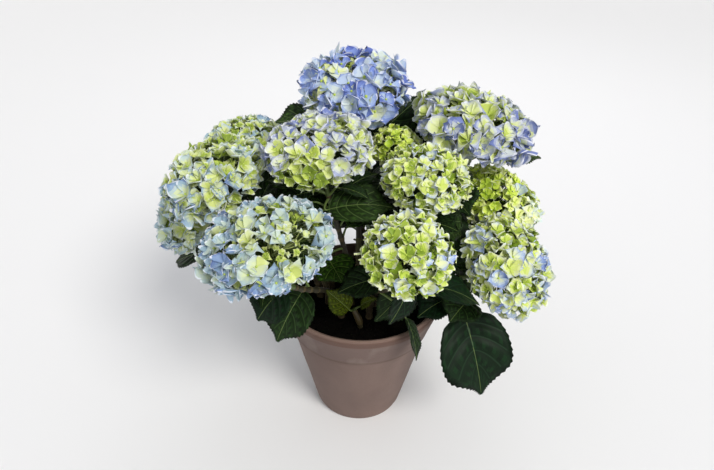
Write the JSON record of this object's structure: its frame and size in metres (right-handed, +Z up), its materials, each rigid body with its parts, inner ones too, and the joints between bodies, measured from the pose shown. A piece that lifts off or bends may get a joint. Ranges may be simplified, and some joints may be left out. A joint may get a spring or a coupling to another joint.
{
  "type": "potted mophead hydrangea shrub",
  "caption": "Bushy mophead hydrangea in lime to blue bloom, with broad toothed leaves on woody canes, growing in a tapered clay pot.",
  "frame": {"origin": "centre of the pot's flat underside, on the surface that the plant stands on", "axes": "+Z up; -Y towards the front of the plant, the side with the bare canes in view; +X to its right"},
  "size_m": [0.5475, 0.5029, 0.528],
  "materials": {
    "pot_clay": "weathered matt clay",
    "potting_soil": "damp dark crumbs",
    "cane_bark": "smooth brown-green bark",
    "leaf": "satin leaf with lighter veins",
    "floret_lime": "soft matt petals, lime to cream",
    "floret_pale": "soft matt petals, cream to pale blue",
    "floret_blue": "soft matt petals, periwinkle blue"
  },
  "bodies": {
    "root": {"pot": "pot_clay", "soil": "potting_soil", "cane_top": "cane_bark", "shoot_top": "leaf", "bloom_top": "floret_blue", "cane_upper_right": "cane_bark", "shoot_upper_right": "leaf", "bloom_upper_right": "floret_pale", "cane_centre_left": "cane_bark", "shoot_centre_left": "leaf", "bloom_centre_left": "floret_pale", "cane_back_left": "cane_bark", "shoot_back_left": "leaf", "bloom_back_left": "floret_lime", "cane_left": "cane_bark", "shoot_left": "leaf", "bloom_left": "floret_lime", "cane_left_low": "cane_bark", "shoot_left_low": "leaf", "bloom_left_low": "floret_pale", "cane_lower_left": "cane_bark", "shoot_lower_left": "leaf", "bloom_lower_left": "floret_pale", "cane_small_green": "cane_bark", "shoot_small_green": "leaf", "bloom_small_green": "floret_lime", "cane_right_centre": "cane_bark", "shoot_right_centre": "leaf", "bloom_right_centre": "floret_lime", "cane_right_upper": "cane_bark", "shoot_right_upper": "leaf", "bloom_right_upper": "floret_lime", "cane_right_lower": "cane_bark", "shoot_right_lower": "leaf", "bloom_right_lower": "floret_lime", "cane_front": "cane_bark", "shoot_front": "leaf", "bloom_front": "floret_lime", "cane_back_centre": "cane_bark", "shoot_back_centre": "leaf", "bloom_back_centre": "floret_lime", "cane_back_right": "cane_bark", "shoot_back_right": "leaf", "bloom_back_right": "floret_lime", "cane_back_low_left": "cane_bark", "shoot_back_low_left": "leaf", "bloom_back_low_left": "floret_lime", "shoot_sprout": "leaf"}
  },
  "joints": []
}
